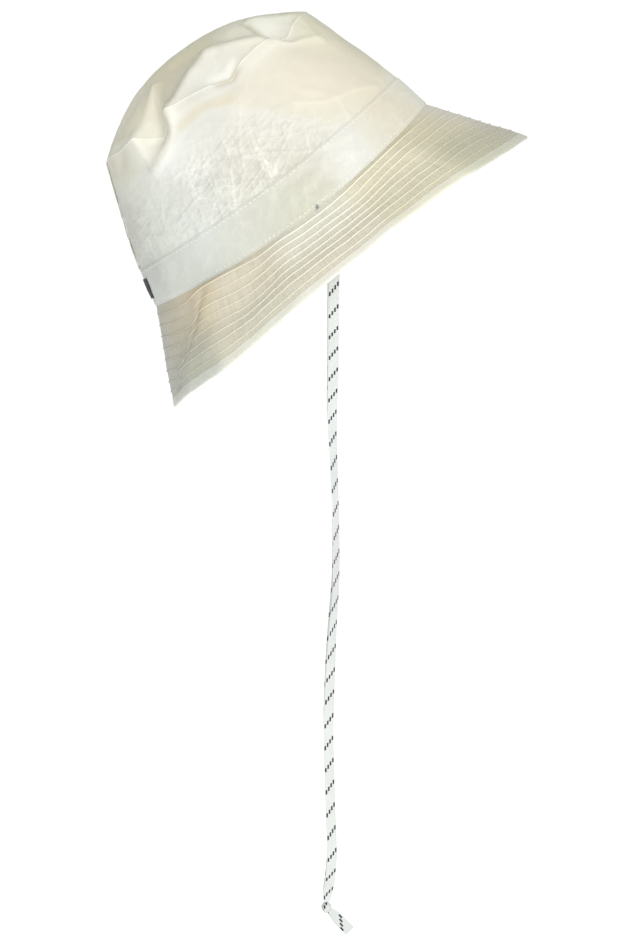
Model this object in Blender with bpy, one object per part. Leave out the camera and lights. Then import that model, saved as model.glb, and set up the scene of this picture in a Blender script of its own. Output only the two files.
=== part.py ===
"""Soft bucket hat with a chin tape, tilted back as it is worn. Metres, +Z up, front towards +X.

The origin is the centre of the head opening, in the plane of the crown seam. The hat is modelled
upright, and the empty worn_hat leans it back as one. The chin tape hangs from inside the crown seam
on the empty tape_pivot, which sits on the line that the tape swings about.
"""

import math

import bmesh
import bpy
from mathutils import Euler, Vector

# Cloth and fits
CLOTH = 0.0008
GAP = 0.0003
COLUMNS = 40
WELD = 1e-6
PROBE = 1e-4

# How the hat is worn
WORN_TILT = math.radians(36.7)

# Crown seam: the oval that fits the head
HEAD_FRONT = 0.1015
HEAD_BACK = 0.1035
HEAD_HALF_WIDTH = 0.0825
EAR_DIP = 0.0105

# Tip seam: the oval at the top of the crown wall
TIP_FRONT = 0.0760
TIP_BACK = 0.0745
TIP_HALF_WIDTH = 0.0610
CROWN_HEIGHT = 0.0885
WALL_BULGE = 0.0025
TIP_RISE = 0.0275
TIP_ROUNDNESS = 2.25
TIP_CORD_RADIUS = 0.0011

# Brim
BRIM_WIDTH = 0.063
DROOP_FRONT = math.radians(54.0)
DROOP_BACK = math.radians(63.0)
DROOP_SIDE = math.radians(34.6)
TURN_FRONT = 4
TURN_BACK = 2
SEAM_EASE = 0.0006
BRIM_SPANS = 4

# Brim stitching and edge
STITCH_ROWS = 8
FIRST_ROW = 0.0070
LAST_ROW_TO_BINDING = 0.0040
STITCH_WIDTH = 0.0012
STITCH_HEIGHT = 0.0004
BINDING_WIDTH = 0.0055
BINDING_CLOTH = 0.0006

# Hat band, sweatband, back seam and label
BAND_ENDS = 0.0250
BAND_SIDES = 0.0290
BAND_TO_BRIM = 0.0012
BAND_EDGE_STITCH = 0.0020
SWEATBAND_WIDTH = 0.0260
BACK_SEAM_WIDTH = 0.0050
LABEL_WIDTH = 0.0350
LABEL_TO_LOW_STITCH = 0.0005
LABEL_TO_TOP_STITCH = 0.0033

# Chin tape
TAPE_WIDTH = 0.0068
TAPE_CLOTH = 0.0006
TAPE_FORWARD = 0.0125
TAPE_SEWN_ABOVE = 0.0015
PIVOT_BELOW = 0.0235
PIVOT_LAP = 0.0030
TAPE_TO_SWEATBAND = 0.0005
BARTACK_WIDTH = 0.0044
BARTACK_HEIGHT = 0.0030
BARTACK_BELOW = 0.0085
KNOT_WIDTH = 0.0064
KNOT_DEPTH = 0.0090
KNOT_HEIGHT = 0.0060
TAPE_END_LENGTH = 0.0175
TAPE_END_TURN = math.radians(44.0)
POINT_SPACING = 0.0120

# Where the right leg of the tape hangs, from the pivot down to the knot. The left leg mirrors it.
TAPE_ROUTE = (
    (0.0223, -0.0768, -0.0090),
    (0.0241, -0.0768, -0.0114),
    (0.0252, -0.0767, -0.0136),
    (0.0256, -0.0765, -0.0170),
    (0.0255, -0.0761, -0.0240),
    (0.0250, -0.0749, -0.0420),
    (0.0247, -0.0729, -0.0700),
    (0.0246, -0.0704, -0.0980),
    (0.0240, -0.0676, -0.1300),
    (0.0252, -0.0638, -0.1620),
    (0.0264, -0.0595, -0.1950),
    (0.0264, -0.0545, -0.2280),
    (0.0244, -0.0492, -0.2600),
    (0.0228, -0.0433, -0.2920),
    (0.0220, -0.0368, -0.3220),
    (0.0226, -0.0299, -0.3510),
    (0.0234, -0.0228, -0.3780),
    (0.0242, -0.0165, -0.3990),
    (0.0232, -0.0105, -0.4155),
    (0.0216, -0.0060, -0.4260),
    (0.0208, -0.0038, -0.4320),
)
# How far the tape is turned from facing sideways, at even steps down the leg.
TAPE_TURNS = tuple(math.radians(turn) for turn in (-11, 4, 14, 38, 48, 46, 20, 14, 18, 12))
KNOT_CENTRE = Vector((0.0207, 0.0, -0.4360))


def clear_scene():
    for item in list(bpy.data.objects):
        bpy.data.objects.remove(item, do_unlink=True)


def finish(name, colour, roughness=0.8, metallic=0.0):
    material = bpy.data.materials.new(name)
    material.use_nodes = True
    shader = material.node_tree.nodes["Principled BSDF"]
    shader.inputs["Base Color"].default_value = (*colour, 1.0)
    shader.inputs["Roughness"].default_value = roughness
    shader.inputs["Metallic"].default_value = metallic
    return material


def add_object(name, data, material, parent):
    item = bpy.data.objects.new(name, data)
    bpy.context.scene.collection.objects.link(item)
    item.data.materials.append(material)
    item.parent = parent
    return item


def add_empty(name, location=(0, 0, 0), rotation=(0, 0, 0)):
    item = bpy.data.objects.new(name, None)
    bpy.context.scene.collection.objects.link(item)
    item.location = location
    item.rotation_euler = rotation
    return item


def add_mesh(name, shape, material, parent):
    """Faces are split along their short way, so that plies laid together bend in the same places."""
    bmesh.ops.recalc_face_normals(shape, faces=shape.faces)
    bmesh.ops.triangulate(shape, faces=shape.faces, quad_method="SHORT_EDGE")
    mesh = bpy.data.meshes.new(name)
    shape.to_mesh(mesh)
    shape.free()
    mesh.shade_smooth()
    mesh.set_sharp_from_angle(angle=math.radians(40))
    return add_object(name, mesh, material, parent)


# ---- Surfaces of the hat, each a function of the angle round it and the distance along it ----


def oval(angle, front, back, half_width, height):
    reach = front if math.cos(angle) > 0 else back
    return Vector((reach * math.cos(angle), half_width * math.sin(angle), height))


def oval_outward(angle, front, back, half_width):
    reach = front if math.cos(angle) > 0 else back
    return Vector((half_width * math.cos(angle), reach * math.sin(angle), 0)).normalized()


def crown_seam(angle):
    dip = -EAR_DIP * math.sin(angle) ** 2
    return oval(angle, HEAD_FRONT, HEAD_BACK, HEAD_HALF_WIDTH, dip)


def tip_seam(angle):
    return oval(angle, TIP_FRONT, TIP_BACK, TIP_HALF_WIDTH, CROWN_HEIGHT)


def wall_length(angle):
    return (tip_seam(angle) - crown_seam(angle)).length


def wall_point(angle, along):
    share = along / wall_length(angle)
    outward = oval_outward(angle, HEAD_FRONT, HEAD_BACK, HEAD_HALF_WIDTH)
    bulge = 4 * WALL_BULGE * share * (1 - share)
    return crown_seam(angle).lerp(tip_seam(angle), share) + outward * bulge


def brim_droop(angle):
    """Angle of the brim below level: gentle over the ears, steeper in front and behind."""
    if math.cos(angle) > 0:
        return DROOP_SIDE + (DROOP_FRONT - DROOP_SIDE) * math.cos(angle) ** TURN_FRONT
    return DROOP_SIDE + (DROOP_BACK - DROOP_SIDE) * math.cos(angle) ** TURN_BACK


def brim_point(angle, along):
    droop = brim_droop(angle)
    outward = oval_outward(angle, HEAD_FRONT, HEAD_BACK, HEAD_HALF_WIDTH)
    return crown_seam(angle) + along * (outward * math.cos(droop) - Vector((0, 0, math.sin(droop))))


def tip_point(angle, along):
    """Dome of the crown tip, with the distance taken from its seam towards the middle."""
    edge = tip_seam(angle)
    radius = math.hypot(edge.x, edge.y)
    share = 1 - along / radius
    rise = TIP_RISE * (1 - abs(share) ** TIP_ROUNDNESS)
    return Vector((edge.x * share, edge.y * share, CROWN_HEIGHT + rise))


def outside_of(surface, angle, along):
    """Unit normal of a surface, away from the head."""
    round_way = surface(angle + PROBE, along) - surface(angle - PROBE, along)
    along_way = surface(angle, along + PROBE) - surface(angle, along - PROBE)
    normal = round_way.cross(along_way).normalized()
    return -normal if surface is brim_point else normal


def lifted(surface, angle, along, lift):
    return surface(angle, along) + lift * outside_of(surface, angle, along)


# ---- Closed pieces laid on those surfaces ----


def band_outline(spans):
    """Corners of a strip's cross-section, as (share of its width, share of its thickness)."""
    there = [(step / spans, 0) for step in range(spans + 1)]
    back = [(step / spans, 1) for step in range(spans, -1, -1)]
    return there + back


def swept(name, material, parent, place, corners, start=0.0, end=2 * math.pi):
    """A cross-section carried round the hat. The angles between start and end stay on the same columns."""
    shape = bmesh.new()
    bmesh.ops.create_grid(shape, x_segments=COLUMNS, y_segments=len(corners), size=0.5)
    for vert in shape.verts:
        column = round((vert.co.x + 0.5) * COLUMNS)
        row = round((vert.co.y + 0.5) * len(corners)) % len(corners)
        whole = math.floor(start * COLUMNS / (2 * math.pi) + WELD)
        angle = min(max((whole + column) * 2 * math.pi / COLUMNS, start), end)
        vert.co = place(angle, *corners[row])
    bmesh.ops.remove_doubles(shape, verts=shape.verts, dist=WELD)
    bmesh.ops.holes_fill(shape, edges=shape.edges, sides=0)
    return add_mesh(name, shape, material, parent)


def strip(name, material, parent, surface, low, high, lift, thick=CLOTH, spans=1, start=0.0, end=2 * math.pi):
    """A strip of cloth between two lines on a surface. low and high are functions of the angle."""

    def place(angle, across, through):
        along = low(angle) + (high(angle) - low(angle)) * across
        return lifted(surface, angle, along, lift + thick * through)

    return swept(name, material, parent, place, band_outline(spans), start, end)


def always(value):
    return lambda angle: value


# ---- Crown ----


def make_crown(hat):
    wall_cloth = finish("crown wall cloth", (0.80, 0.77, 0.65))
    tip_cloth = finish("crown tip cloth", (0.74, 0.70, 0.56))
    seam_cloth = finish("seam cloth", (0.84, 0.83, 0.75))
    end_clearance = TIP_CORD_RADIUS + GAP
    slit = (GAP / 2) / HEAD_HALF_WIDTH
    strip(
        "crown_wall", wall_cloth, hat, wall_point,
        low=always(SEAM_EASE), high=lambda angle: wall_length(angle) - end_clearance,
        lift=0, spans=4, start=math.pi + slit, end=3 * math.pi - slit,
    )

    def place_tip(angle, across, through):
        edge = tip_seam(angle)
        along = end_clearance + (math.hypot(edge.x, edge.y) - end_clearance) * across
        if across == 1:
            return Vector((0, 0, CROWN_HEIGHT + TIP_RISE + CLOTH * through))
        return lifted(tip_point, angle, along, CLOTH * through)

    swept("crown_tip", tip_cloth, hat, place_tip, band_outline(6))

    def place_cord(angle, turn, _):
        outward = oval_outward(angle, TIP_FRONT, TIP_BACK, TIP_HALF_WIDTH)
        middle = tip_seam(angle) + outward * CLOTH / 2 + Vector((0, 0, CLOTH / 2))
        ring = outward * math.cos(turn) + Vector((0, 0, math.sin(turn)))
        return middle + TIP_CORD_RADIUS * ring

    cord_corners = [(step * math.pi / 3, 0) for step in range(6)]
    swept("tip_seam_cord", seam_cloth, hat, place_cord, cord_corners)
    half = BACK_SEAM_WIDTH / 2 / HEAD_HALF_WIDTH
    strip(
        "crown_back_seam", seam_cloth, hat, wall_point,
        low=lambda angle: BAND_ENDS + GAP, high=lambda angle: wall_length(angle) - end_clearance - GAP,
        lift=CLOTH + GAP, thick=BINDING_CLOTH, spans=4, start=math.pi - half, end=math.pi + half,
    )


def band_top(angle):
    return BAND_ENDS + (BAND_SIDES - BAND_ENDS) * math.sin(angle) ** 2


def make_bands(hat):
    band_cloth = finish("band cloth", (0.76, 0.77, 0.68))
    thread = finish("thread", (0.88, 0.88, 0.82), roughness=0.6)
    ribbon = finish("sweatband ribbon", (0.78, 0.76, 0.68), roughness=0.9)
    band_lift = CLOTH + GAP
    stitch_lift = band_lift + CLOTH + GAP
    band_low = SEAM_EASE + BAND_TO_BRIM
    slit = (GAP / 2) / HEAD_HALF_WIDTH
    strip(
        "hat_band", band_cloth, hat, wall_point,
        low=always(band_low), high=band_top,
        lift=band_lift, spans=2, start=math.pi + slit, end=3 * math.pi - slit,
    )
    strip(
        "band_top_stitch", thread, hat, wall_point,
        low=lambda angle: band_top(angle) - BAND_EDGE_STITCH - STITCH_WIDTH,
        high=lambda angle: band_top(angle) - BAND_EDGE_STITCH,
        lift=stitch_lift, thick=STITCH_HEIGHT,
    )
    strip(
        "band_bottom_stitch", thread, hat, wall_point,
        low=always(band_low + BAND_EDGE_STITCH), high=always(band_low + BAND_EDGE_STITCH + STITCH_WIDTH),
        lift=stitch_lift, thick=STITCH_HEIGHT,
    )
    strip(
        "sweatband", ribbon, hat, wall_point,
        low=always(SEAM_EASE), high=always(SEAM_EASE + SWEATBAND_WIDTH),
        lift=-GAP - CLOTH, spans=2,
    )
    half = LABEL_WIDTH / 2 / HEAD_HALF_WIDTH
    label_low = band_low + BAND_EDGE_STITCH + STITCH_WIDTH + LABEL_TO_LOW_STITCH
    label_high = BAND_ENDS - BAND_EDGE_STITCH - STITCH_WIDTH - LABEL_TO_TOP_STITCH
    strip(
        "back_label", finish("label weave", (0.02, 0.02, 0.02), roughness=0.7), hat, wall_point,
        low=always(label_low), high=always(label_high),
        lift=stitch_lift, thick=BINDING_CLOTH, start=math.pi - half, end=math.pi + half,
    )


# ---- Brim ----


def make_brim(hat):
    upper = finish("brim cloth", (0.74, 0.70, 0.57))
    lower = finish("brim under cloth", (0.72, 0.69, 0.57))
    thread = finish("brim thread", (0.88, 0.87, 0.80), roughness=0.6)
    binding = finish("binding cloth", (0.84, 0.84, 0.79))
    ply_end = BRIM_WIDTH - GAP
    strip(
        "brim_upper", upper, hat, brim_point,
        low=always(SEAM_EASE), high=always(ply_end), lift=0, spans=BRIM_SPANS,
    )
    strip(
        "brim_lower", lower, hat, brim_point,
        low=always(SEAM_EASE), high=always(ply_end), lift=-GAP - CLOTH, spans=BRIM_SPANS,
    )
    last_row = BRIM_WIDTH - BINDING_WIDTH - LAST_ROW_TO_BINDING
    spacing = (last_row - FIRST_ROW) / (STITCH_ROWS - 1)
    for row in range(STITCH_ROWS):
        middle = FIRST_ROW + row * spacing
        strip(
            f"brim_stitch_row_{row + 1}", thread, hat, brim_point,
            low=always(middle - STITCH_WIDTH / 2), high=always(middle + STITCH_WIDTH / 2),
            lift=CLOTH + GAP, thick=STITCH_HEIGHT,
        )
    top = CLOTH + GAP
    bottom = -2 * GAP - CLOTH
    edge_corners = (
        (BRIM_WIDTH - BINDING_WIDTH, top),
        (BRIM_WIDTH - BINDING_WIDTH, top + BINDING_CLOTH),
        (BRIM_WIDTH + BINDING_CLOTH, top + BINDING_CLOTH),
        (BRIM_WIDTH + BINDING_CLOTH, bottom - BINDING_CLOTH),
        (BRIM_WIDTH - BINDING_WIDTH, bottom - BINDING_CLOTH),
        (BRIM_WIDTH - BINDING_WIDTH, bottom),
        (BRIM_WIDTH, bottom),
        (BRIM_WIDTH, top),
    )

    def place_binding(angle, along, lift):
        return lifted(brim_point, angle, along, lift)

    swept("brim_edge_binding", binding, hat, place_binding, edge_corners)


# ---- Chin tape ----


def smooth_route(points, spacing):
    """Points at even spacing on one smooth curve through the given ones."""
    ends = [2 * points[0] - points[1], *points, 2 * points[-1] - points[-2]]
    fine = []
    for before, first, second, after in zip(ends, ends[1:], ends[2:], ends[3:]):
        for step in range(20):
            t = step / 20
            fine.append(
                0.5 * (
                    2 * first
                    + (second - before) * t
                    + (2 * before - 5 * first + 4 * second - after) * t * t
                    + (3 * first - before - 3 * second + after) * t ** 3
                )
            )
    fine.append(points[-1])
    lengths = [0.0]
    for first, second in zip(fine, fine[1:]):
        lengths.append(lengths[-1] + (second - first).length)
    count = round(lengths[-1] / spacing)
    route = []
    place = 0
    for step in range(count + 1):
        wanted = lengths[-1] * step / count
        while place < len(fine) - 2 and lengths[place + 1] < wanted:
            place += 1
        share = (wanted - lengths[place]) / (lengths[place + 1] - lengths[place])
        route.append(fine[place].lerp(fine[place + 1], share))
    return route


def spread(values, share):
    """The value at a share of the way through an even list."""
    position = share * (len(values) - 1)
    first = min(int(position), len(values) - 2)
    return values[first] + (values[first + 1] - values[first]) * (position - first)


def tape_leg(name, material, pivot, side):
    """One leg of the tape. side is -1 for the wearer's right and 1 for the left."""
    points = [Vector((x, -side * y, z)) for x, y, z in TAPE_ROUTE]
    route = smooth_route(points, POINT_SPACING)
    curve = bpy.data.curves.new(name, "CURVE")
    curve.dimensions = "3D"
    curve.twist_mode = "MINIMUM"
    curve.bevel_depth = TAPE_CLOTH / 2
    curve.bevel_resolution = 2
    curve.extrude = (TAPE_WIDTH - TAPE_CLOTH) / 2
    curve.use_fill_caps = True
    spline = curve.splines.new("POLY")
    spline.points.add(len(route) - 1)
    for step, (point, place) in enumerate(zip(spline.points, route)):
        point.co = (*(place - pivot.location), 1.0)
        point.tilt = side * spread(TAPE_TURNS, step / (len(route) - 1))
    return add_object(name, curve, material, pivot)


def slab(name, material, parent, size, centre, rotation=(0, 0, 0)):
    """A flat length of tape or thread."""
    shape = bmesh.new()
    bmesh.ops.create_cube(shape, size=1.0)
    bmesh.ops.scale(shape, vec=size, verts=shape.verts)
    turn = Euler(rotation).to_matrix()
    bmesh.ops.rotate(shape, cent=(0, 0, 0), matrix=turn, verts=shape.verts)
    bmesh.ops.translate(shape, vec=centre, verts=shape.verts)
    return add_mesh(name, shape, material, parent)


def sweatband_inside(forward, height):
    """How far the inside of the sweatband is from the middle plane, above the crown seam at the ears."""
    angle = math.acos(forward / HEAD_FRONT)
    along = (height + EAR_DIP) * wall_length(angle) / (CROWN_HEIGHT + EAR_DIP)
    return lifted(wall_point, angle, along, -GAP - CLOTH).y


def make_tape(hat, pivot):
    weave = finish("tape weave", (0.80, 0.81, 0.78), roughness=0.7)
    thread = finish("bartack thread", (0.25, 0.26, 0.26))
    room = sweatband_inside(TAPE_FORWARD + TAPE_WIDTH / 2, TAPE_SEWN_ABOVE)
    for side, word in ((-1, "right"), (1, "left")):
        # Sewn end: flat against the inside of the sweatband, and down past the crown seam.
        top = TAPE_SEWN_ABOVE
        bottom = -PIVOT_BELOW - PIVOT_LAP
        sewn_y = side * (room - TAPE_TO_SWEATBAND - TAPE_CLOTH / 2)
        slab(
            f"tape_sewn_end_{word}", weave, hat,
            size=(TAPE_WIDTH, TAPE_CLOTH, top - bottom),
            centre=(TAPE_FORWARD, sewn_y, (top + bottom) / 2),
        )
        tack_y = sewn_y - side * (TAPE_CLOTH / 2 + GAP + STITCH_HEIGHT / 2)
        slab(
            f"tape_bartack_{word}", thread, hat,
            size=(BARTACK_WIDTH, STITCH_HEIGHT, BARTACK_HEIGHT),
            centre=(TAPE_FORWARD, tack_y, -BARTACK_BELOW),
        )
        tape_leg(f"chin_tape_{word}", weave, pivot, side)

    shape = bmesh.new()
    bmesh.ops.create_icosphere(shape, subdivisions=2, radius=0.5)
    bmesh.ops.scale(shape, vec=(KNOT_WIDTH, KNOT_DEPTH, KNOT_HEIGHT), verts=shape.verts)
    bmesh.ops.translate(shape, vec=KNOT_CENTRE - pivot.location, verts=shape.verts)
    add_mesh("chin_knot", shape, weave, pivot)

    away = Vector((math.sin(TAPE_END_TURN), 0, -math.cos(TAPE_END_TURN)))
    start = KNOT_WIDTH / 2 + GAP
    for side, word in ((-1, "right"), (1, "left")):
        middle = KNOT_CENTRE + away * (start + TAPE_END_LENGTH / 2)
        middle.y = side * (TAPE_CLOTH + GAP) / 2
        slab(
            f"chin_tape_end_{word}", weave, pivot,
            size=(TAPE_WIDTH, TAPE_CLOTH, TAPE_END_LENGTH),
            centre=middle - pivot.location, rotation=(0, -TAPE_END_TURN, 0),
        )


def main():
    clear_scene()
    hat = add_empty("worn_hat", rotation=(0, -WORN_TILT, 0))
    forward = Vector((math.cos(WORN_TILT), 0, math.sin(WORN_TILT)))
    upward = Vector((-math.sin(WORN_TILT), 0, math.cos(WORN_TILT)))
    pivot = add_empty("tape_pivot", location=TAPE_FORWARD * forward - PIVOT_BELOW * upward)
    make_crown(hat)
    make_bands(hat)
    make_brim(hat)
    make_tape(hat, pivot)


main()
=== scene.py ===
import math

import bmesh
import bpy
import numpy as np
from mathutils import Matrix, Vector, noise


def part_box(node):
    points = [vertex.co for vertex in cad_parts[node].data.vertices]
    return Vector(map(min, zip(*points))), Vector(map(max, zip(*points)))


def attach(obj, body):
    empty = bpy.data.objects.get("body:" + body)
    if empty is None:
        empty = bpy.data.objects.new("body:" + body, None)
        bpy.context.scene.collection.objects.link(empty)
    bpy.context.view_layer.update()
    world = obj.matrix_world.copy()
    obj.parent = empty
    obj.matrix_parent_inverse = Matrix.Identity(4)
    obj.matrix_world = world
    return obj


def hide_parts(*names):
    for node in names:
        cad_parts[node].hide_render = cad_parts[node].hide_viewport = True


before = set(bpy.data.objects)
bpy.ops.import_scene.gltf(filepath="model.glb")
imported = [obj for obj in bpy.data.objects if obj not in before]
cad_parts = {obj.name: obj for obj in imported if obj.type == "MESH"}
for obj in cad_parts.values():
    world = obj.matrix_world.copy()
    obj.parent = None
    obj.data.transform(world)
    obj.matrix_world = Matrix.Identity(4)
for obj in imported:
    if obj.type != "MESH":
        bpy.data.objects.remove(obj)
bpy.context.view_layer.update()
print("frame loaded")


class Wire:
    # A node's output that takes part in sums, so that shader maths reads as an expression.
    def __init__(self, board, socket):
        self.board = board
        self.socket = socket

    def maths(self, operation, *values):
        return self.board.node("Math", {"operation": operation}, dict(enumerate(values)))

    def __add__(self, other):
        return self.maths("ADD", self, other)

    def __sub__(self, other):
        return self.maths("SUBTRACT", self, other)

    def __rsub__(self, other):
        return self.maths("SUBTRACT", other, self)

    def __mul__(self, other):
        return self.maths("MULTIPLY", self, other)

    def highest(self, other):
        return self.maths("MAXIMUM", self, other)

    def lowest(self, other):
        return self.maths("MINIMUM", self, other)

    def below(self, other):
        return self.maths("LESS_THAN", self, other)

    def above(self, other):
        return self.maths("GREATER_THAN", self, other)

    def size(self):
        return self.maths("ABSOLUTE", self)

    def sine(self):
        return self.maths("SINE", self)

    def wrapped(self, period):
        return self.maths("WRAP", self, period, 0.0)

    __radd__ = __add__
    __rmul__ = __mul__


class Board:
    # A node tree, and the only way this script adds nodes to one.
    def __init__(self, tree):
        self.tree = tree

    def node(self, kind, settings=None, inputs=None, out=0):
        made = self.tree.nodes.new("ShaderNode" + kind)
        for key, value in (settings or {}).items():
            setattr(made, key, value)
        for key, value in (inputs or {}).items():
            self.feed(made.inputs[key], value)
        return Wire(self, made.outputs[out])

    def feed(self, socket, value):
        if isinstance(value, Wire):
            self.tree.links.new(value.socket, socket)
        elif isinstance(value, tuple) and len(value) == 3 and socket.type == "RGBA":
            socket.default_value = (*value, 1.0)
        else:
            socket.default_value = value

    def place(self):
        return self.node("TexCoord", out=3)

    def painted(self, name, out=2):
        # What is painted on the mesh: a number, or with out=0 a colour.
        return self.node("Attribute", {"attribute_name": name}, out=out)

    def speckle(self, place, scale, detail, settings=None, **more):
        return self.node("TexNoise", settings, {"Vector": place, "Scale": scale, "Detail": detail, **more})

    def blend(self, share, first, second):
        return self.node("Mix", {"data_type": "RGBA"}, {"Factor": share, 6: first, 7: second}, out=2)

    def times(self, colour, factors):
        return self.node("VectorMath", {"operation": "MULTIPLY"}, {0: colour, 1: factors})

    def fade(self, value, start, end):
        # 1 up to start, and smoothly down to 0 at end.
        return self.node("MapRange", {"interpolation_type": "SMOOTHSTEP"},
                         {"Value": value, "From Min": start, "From Max": end, "To Min": 1.0, "To Max": 0.0})


class Finish(Board):
    # A material with one Principled shader.
    def __init__(self, name, **constants):
        self.material = bpy.data.materials.new(name)
        self.material.use_nodes = True
        super().__init__(self.material.node_tree)
        self.shader = self.tree.nodes["Principled BSDF"]
        self.set(**constants)

    def set(self, **values):
        for socket, value in values.items():
            self.feed(self.shader.inputs[socket.replace("_", " ")], value)

    def emboss(self, strength, height):
        self.set(Normal=self.node("Bump", None, {"Strength": strength, "Distance": 1.0, "Height": height}))

    def letThrough(self, share, colour):
        # Thin cloth passes some light on to its other side.
        glow = self.node("BsdfTranslucent", None, {"Color": colour})
        both = self.node("MixShader", None, {0: share, 1: Wire(self, self.shader.outputs[0]), 2: glow})
        self.feed(self.tree.nodes["Material Output"].inputs["Surface"], both)


studio = {
    "aim": (0.0149, 0.0, -0.1667), "distance": 2.45, "elevation": 4.4, "lens": 150.3, "sensor": 36.0,
    "ambient": 0.78, "backdrop": 1.05, "lightAim": (0.0, 0.0, -0.05),
    "floorHeight": -0.462, "floorRadius": 2.6, "fadeStart": 0.9, "fadeRim": 0.3, "floorGlow": 0.45,
}
# Each light's name: its place, its width in metres and its power in watts.
lights = {"key": ((0.55, -2.3, 0.25), 1.6, 43.0), "side": ((1.9, -0.6, 0.9), 1.4, 5.0)}


def lookAt(item, target):
    item.rotation_euler = (Vector(target) - item.location).to_track_quat("-Z", "Y").to_euler()


def addItem(name, data):
    item = bpy.data.objects.new(name, data)
    bpy.context.scene.collection.objects.link(item)
    return item


def makeStudio():
    scene = bpy.context.scene
    camera = addItem("camera", bpy.data.cameras.new("camera"))
    camera.data.lens = studio["lens"]
    camera.data.sensor_width = studio["sensor"]
    rise = math.radians(studio["elevation"])
    away = Vector((0.0, -math.cos(rise), math.sin(rise)))
    camera.location = Vector(studio["aim"]) + away * studio["distance"]
    lookAt(camera, studio["aim"])
    scene.camera = camera
    scene.view_settings.view_transform = "Standard"

    # The backdrop is a little brighter to the camera than it is as a light.
    world = bpy.data.worlds.new("white studio")
    world.use_nodes = True
    scene.world = world
    board = Board(world.node_tree)
    level = board.node("MapRange", None, {"Value": board.node("LightPath"), "To Min": studio["ambient"],
                                          "To Max": studio["backdrop"]})
    background = world.node_tree.nodes["Background"]
    board.feed(background.inputs["Strength"], level)
    board.feed(background.inputs["Color"], (1.0, 1.0, 1.0))

    for name, (place, size, power) in lights.items():
        data = bpy.data.lights.new(name, "AREA")
        data.shape = "DISK"
        data.size = size
        data.energy = power
        item = addItem(name, data)
        item.location = place
        lookAt(item, studio["lightAim"])
    print("studio made")


def makeFloor():
    # A pale disc that fades out into the white round it.
    finish = Finish("floorFinish", Roughness=0.9, Base_Color=(0.93, 0.93, 0.92), Emission_Color=(1.0, 1.0, 1.0),
                    Emission_Strength=studio["floorGlow"])
    reach = finish.node("VectorMath", {"operation": "LENGTH"}, {0: finish.place()}, out=1)
    finish.set(Alpha=finish.fade(reach, studio["fadeStart"], studio["floorRadius"] - studio["fadeRim"]))
    shape = bmesh.new()
    bmesh.ops.create_circle(shape, cap_ends=True, segments=96, radius=studio["floorRadius"])
    bmesh.ops.translate(shape, vec=(0.0, 0.0, studio["floorHeight"]), verts=shape.verts)
    mesh = bpy.data.meshes.new("floor")
    shape.to_mesh(mesh)
    shape.free()
    mesh.materials.append(finish.material)
    addItem("floor", mesh)


clothLook = {
    "roughness": 0.52, "coat": 0.10, "sheen": 0.12, "through": 0.32, "glow": (0.70, 0.69, 0.61),
    "cloud": 0.35, "cloudScale": 26.0, "grainScale": 1900.0,
    "darker": (0.86, 0.85, 0.80), "lighter": (1.10, 1.10, 1.12),
    # Crease lines: each set's turn in degrees and size in metres, and how much longer than wide they are.
    "creases": ((38, 0.0050), (-22, 0.0062), (84, 0.0072), (8, 0.0088)),
    "creaseLong": (4.5, 5.0), "creaseEdge": 0.036, "patchScale": 55.0,
    "creasePale": 0.34, "pale": (0.95, 0.95, 0.90), "creaseDepth": 0.0021,
    # Fine lines that run outwards across the brim: how many there are round it and outwards, and how strong.
    "streakScale": (520.0, 7.0, 1.0), "streaks": 0.0,
}
brimGlow = (0.65, 0.62, 0.50)


def clothFinish(name, **changes):
    # Coated sheer cloth. Its tint, which holds its colour together with painted light and shade, is painted on the
    # mesh, and crinkles and weave come on top.
    look = {**clothLook, **changes}
    finish = Finish(name, Roughness=look["roughness"], Sheen_Weight=look["sheen"], Coat_Weight=look["coat"])
    place = finish.place()
    tint, crease = finish.painted("tint", out=0), finish.painted("crease")
    patch = finish.speckle(place, look["patchScale"], 2.0)
    lines, slopes = 0.0, 0.0
    for turn, across in look["creases"]:
        size = (across, across * look["creaseLong"][0], across * look["creaseLong"][1])
        stretched = finish.node("Mapping", {"vector_type": "TEXTURE"},
                                {"Vector": place, "Rotation": (0.0, math.radians(turn), 0.0), "Scale": size})
        ridge = (finish.speckle(stretched, 1.0, 1.6, Roughness=0.45) - 0.5).size()
        lines = finish.fade(ridge, 0.0, look["creaseEdge"]) + lines
        slopes = ridge * -1.0 + slopes
    lines = lines * (patch * 1.7 - 0.25).highest(0.0) * crease
    cloud = finish.speckle(place, look["cloudScale"], 4.0, Roughness=0.6)
    grain = finish.speckle(place, look["grainScale"], 1.0)
    shade = (cloud - 0.5) * look["cloud"] + (grain - 0.5) * 0.05 + 0.5
    if look["streaks"]:
        spread = finish.times(finish.node("UVMap"), look["streakScale"])
        streak = finish.speckle(spread, 1.0, 1.0, {"noise_dimensions": "2D"})
        shade = (streak - 0.5) * look["streaks"] + shade
    varied = finish.blend(shade, finish.times(tint, look["darker"]), finish.times(tint, look["lighter"]))
    colour = finish.blend((lines * look["creasePale"]).lowest(0.85), varied, look["pale"])
    finish.set(Base_Color=colour, Roughness=(cloud - 0.5) * 0.25 + look["roughness"])
    finish.emboss(0.8, slopes * crease * look["creaseDepth"] + lines * 0.00006 + grain * 0.00002 + cloud * 0.0004)
    finish.letThrough(look["through"], look["glow"])
    return finish.material


def threadFinish(name, colour):
    finish = Finish(name, Roughness=0.5, Sheen_Weight=0.2)
    speck = finish.speckle(finish.place(), 900.0, 2.0)
    pale = tuple(min(1.0, channel * 1.08) for channel in colour)
    deep = tuple(channel * 0.88 for channel in colour)
    finish.set(Base_Color=finish.blend(speck, deep, pale))
    finish.emboss(0.5, speck * 0.0001)
    return finish.material


# Angles go round the hat in degrees: 0 in front, 180 behind, -90 over the wearer's right ear.

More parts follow.
